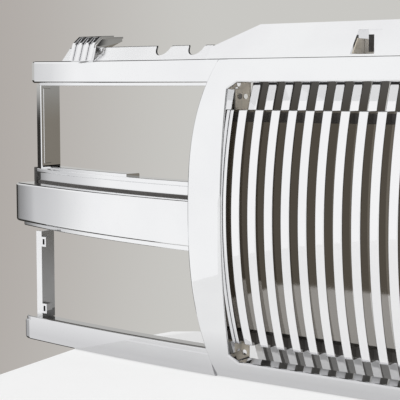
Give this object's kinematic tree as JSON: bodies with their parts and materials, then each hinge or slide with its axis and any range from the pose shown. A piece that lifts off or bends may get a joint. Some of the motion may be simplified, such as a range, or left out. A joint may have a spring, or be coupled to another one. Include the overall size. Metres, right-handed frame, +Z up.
{
  "type": "front grille",
  "caption": "Plated front grille with a bowed set of vertical fins in a crescent-sided surround, two open lamp wings, a leaning top flange and ribbed clips.",
  "frame": {"origin": "Bottom centre of the whole part: midway across its width and depth, on the plane it stands on.", "axes": "+X runs to the side (the viewer's right when facing the front), the front faces -Y, +Z is up."},
  "size_m": [1.6768, 0.1544, 0.439],
  "materials": {
    "plated_surround": "bright chrome plate on moulded plastic",
    "plated_wing": "bright chrome plate on moulded plastic",
    "plated_flange": "chrome plate, thinner and a little duller on the hidden mounting flange",
    "plated_fin": "bright chrome plate on moulded plastic blades",
    "insert_plastic": "dark moulded plastic behind the fins",
    "side_plastic": "pale moulded plastic",
    "clip_plastic": "pale plated clip",
    "screw_steel": "zinc-plated steel"
  },
  "bodies": {
    "root": {"top_rail": "plated_surround", "bottom_rail": "plated_surround", "centre_flange": "plated_flange", "insert_upper_rail": "insert_plastic", "insert_lower_rail": "insert_plastic", "insert_sides": "side_plastic", "corner_screws": "screw_steel", "arch_left": "plated_surround", "arch_right": "plated_surround", "wing_flange_left": "plated_flange", "wing_flange_right": "plated_flange", "upper_bar_left": "plated_wing", "upper_bar_right": "plated_wing", "middle_bar_left": "plated_wing", "middle_bar_right": "plated_wing", "lower_bar_left": "plated_wing", "lower_bar_right": "plated_wing", "sill_left": "plated_wing", "sill_right": "plated_wing", "upper_post_left": "plated_wing", "upper_post_right": "plated_wing", "lower_post_left": "plated_wing", "lower_post_right": "plated_wing", "top_clip_left": "clip_plastic", "top_clip_right": "clip_plastic", "fin_01": "plated_fin", "fin_02": "plated_fin", "fin_03": "plated_fin", "fin_04": "plated_fin", "fin_05": "plated_fin", "fin_06": "plated_fin", "fin_07": "plated_fin", "fin_08": "plated_fin", "fin_09": "plated_fin", "fin_10": "plated_fin", "fin_11": "plated_fin", "fin_12": "plated_fin", "fin_13": "plated_fin", "fin_14": "plated_fin", "fin_15": "plated_fin", "fin_16": "plated_fin", "fin_17": "plated_fin", "fin_18": "plated_fin", "fin_19": "plated_fin", "fin_20": "plated_fin", "fin_21": "plated_fin", "fin_22": "plated_fin", "fin_23": "plated_fin", "fin_24": "plated_fin", "fin_25": "plated_fin", "fin_26": "plated_fin", "fin_27": "plated_fin", "fin_28": "plated_fin", "fin_29": "plated_fin", "fin_30": "plated_fin", "fin_31": "plated_fin", "fin_32": "plated_fin", "fin_33": "plated_fin", "fin_34": "plated_fin", "fin_35": "plated_fin"}
  },
  "joints": []
}
